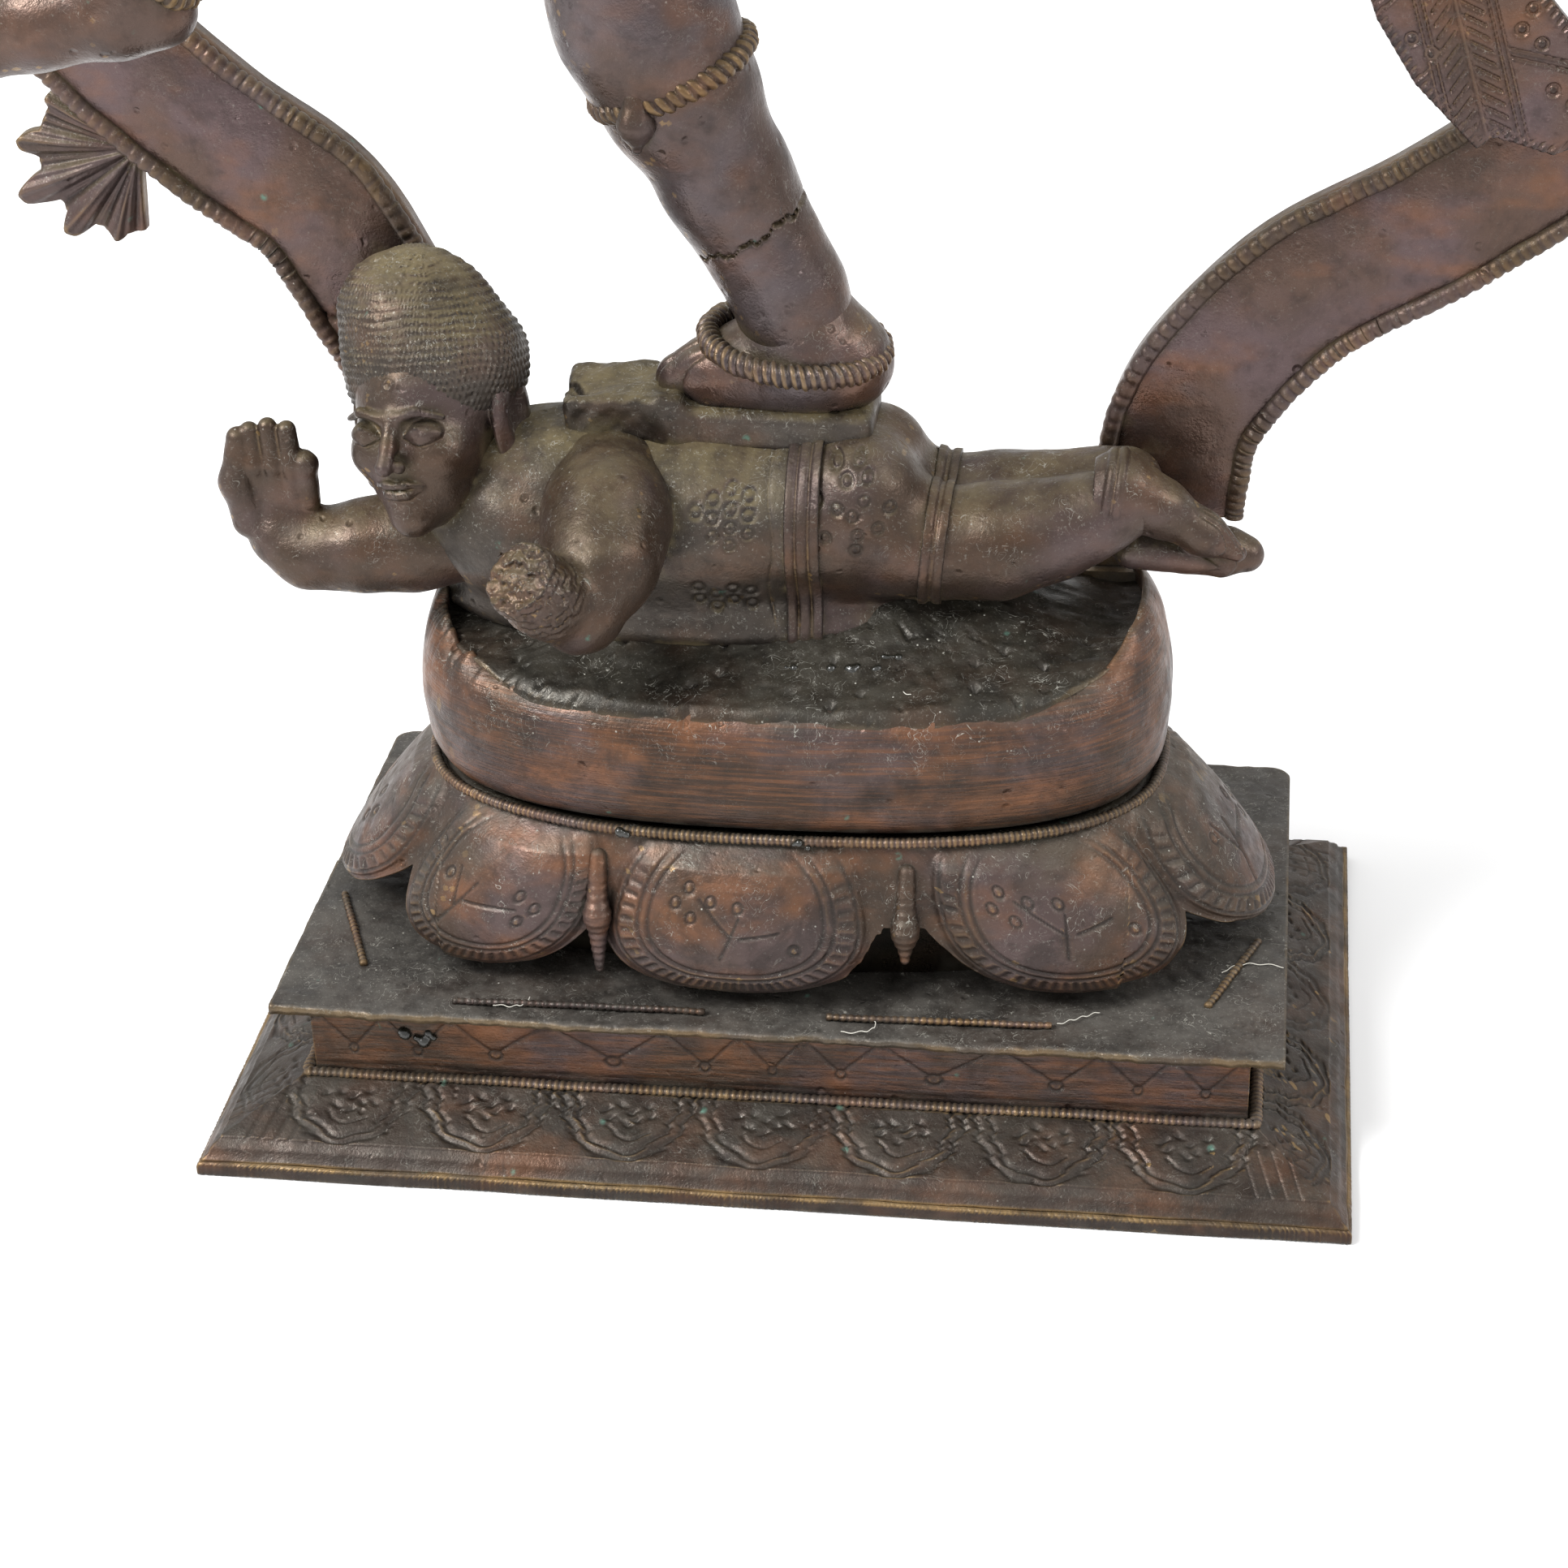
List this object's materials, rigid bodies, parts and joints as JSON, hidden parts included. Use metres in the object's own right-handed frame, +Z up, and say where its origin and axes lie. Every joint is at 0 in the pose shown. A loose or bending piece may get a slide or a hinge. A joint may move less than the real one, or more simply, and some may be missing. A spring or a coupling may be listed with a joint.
{
  "type": "cast brass figure",
  "caption": "Cast brass dancing figure on a prone dwarf, lotus drum and stepped plinth, with a lift-off ring of flames behind.",
  "frame": {"origin": "centre of the plinth's flat underside", "axes": "+Z up, +X to the viewer's right, +Y to the back"},
  "size_m": [0.2872, 0.0911, 0.3499],
  "materials": {
    "plinth_bronze": "dark brown patina, stamped, orange where rubbed",
    "lotus_bronze": "dark brown patina, brushed",
    "dwarf_bronze": "dusty brown patina",
    "dark_patina": "purple-brown patina",
    "halo_bronze": "dark brown patina, pitted",
    "rubbed_brass": "worn yellow brass on notched edges"
  },
  "bodies": {
    "figure": {"plinth_flange": "plinth_bronze", "plinth_slope": "plinth_bronze", "slope_bead": "rubbed_brass", "dado": "plinth_bronze", "table_plate": "plinth_bronze", "table_strips": "plinth_bronze", "lotus_shell": "lotus_bronze", "lotus_petals": "lotus_bronze", "lotus_buds": "lotus_bronze", "drum_bead": "lotus_bronze", "drum": "lotus_bronze", "deck": "lotus_bronze", "halo_sockets": "lotus_bronze", "dwarf_torso": "dwarf_bronze", "dwarf_hips": "dwarf_bronze", "dwarf_belt": "dwarf_bronze", "dwarf_head": "dwarf_bronze", "dwarf_hair": "dwarf_bronze", "dwarf_arm_raised": "dwarf_bronze", "dwarf_arm_bent": "dwarf_bronze", "dwarf_legs": "dwarf_bronze", "dwarf_garters": "dwarf_bronze", "dwarf_feet": "dwarf_bronze", "foot_block": "dark_patina", "standing_foot": "dark_patina", "standing_anklet": "dark_patina", "standing_shin": "dark_patina", "knee_band": "rubbed_brass", "standing_thigh": "dark_patina", "hips": "dark_patina", "waist_belt": "rubbed_brass", "torso": "dark_patina", "necklace": "rubbed_brass", "head": "dark_patina", "crown": "dark_patina", "hair_locks": "dark_patina", "raised_thigh": "dark_patina", "raised_shin": "dark_patina", "raised_anklet": "dark_patina", "raised_foot": "dark_patina", "arm_with_drum": "dark_patina", "hand_drum": "dark_patina", "arm_with_flame": "dark_patina", "hand_flame": "dark_patina", "arm_open_palm": "dark_patina", "arm_across": "dark_patina", "armlets": "rubbed_brass", "sash": "dark_patina", "sash_end": "dark_patina"},
    "halo": {"halo_band": "halo_bronze", "halo_inner_rim": "rubbed_brass", "halo_outer_rim": "rubbed_brass", "halo_flames": "halo_bronze", "halo_tangs": "halo_bronze"}
  },
  "joints": [
    {"name": "halo_lift", "type": "slide", "parent": "figure", "child": "halo", "axis": [0, 0, 1], "range_m": [0, 0.022]}
  ]
}
